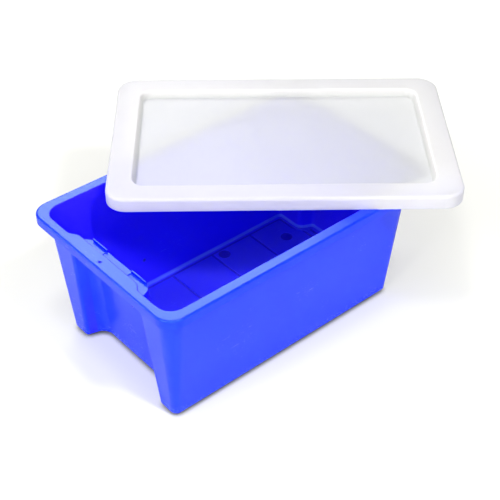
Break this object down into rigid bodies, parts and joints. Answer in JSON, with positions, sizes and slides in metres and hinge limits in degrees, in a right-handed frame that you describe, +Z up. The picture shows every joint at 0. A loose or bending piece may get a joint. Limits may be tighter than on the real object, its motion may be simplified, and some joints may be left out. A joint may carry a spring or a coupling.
{
  "type": "storage crate with lid",
  "caption": "Deep stack-and-nest plastic storage crate with a hand gulley at one end, a foot at the other and a loose translucent lid lying askew on its rim.",
  "frame": {"origin": "middle of the crate's underside, on the surface it stands on", "axes": "+X along the crate away from its hand gulley, +Z up, -Y towards the long side that faces the viewer"},
  "size_m": [0.8575, 0.7096, 0.3033],
  "materials": {
    "crate_plastic": "moulded blue polypropylene, even satin gloss",
    "lid_plastic": "moulded natural polypropylene, milky and slightly see-through, satin"
  },
  "bodies": {
    "crate": {"crate": "crate_plastic"},
    "lid": {"lid": "lid_plastic"}
  },
  "joints": [
    {"name": "lid_lift", "type": "slide", "parent": "crate", "child": "lid", "axis": [0, 0, 1], "range_m": [0, 0.3]}
  ]
}
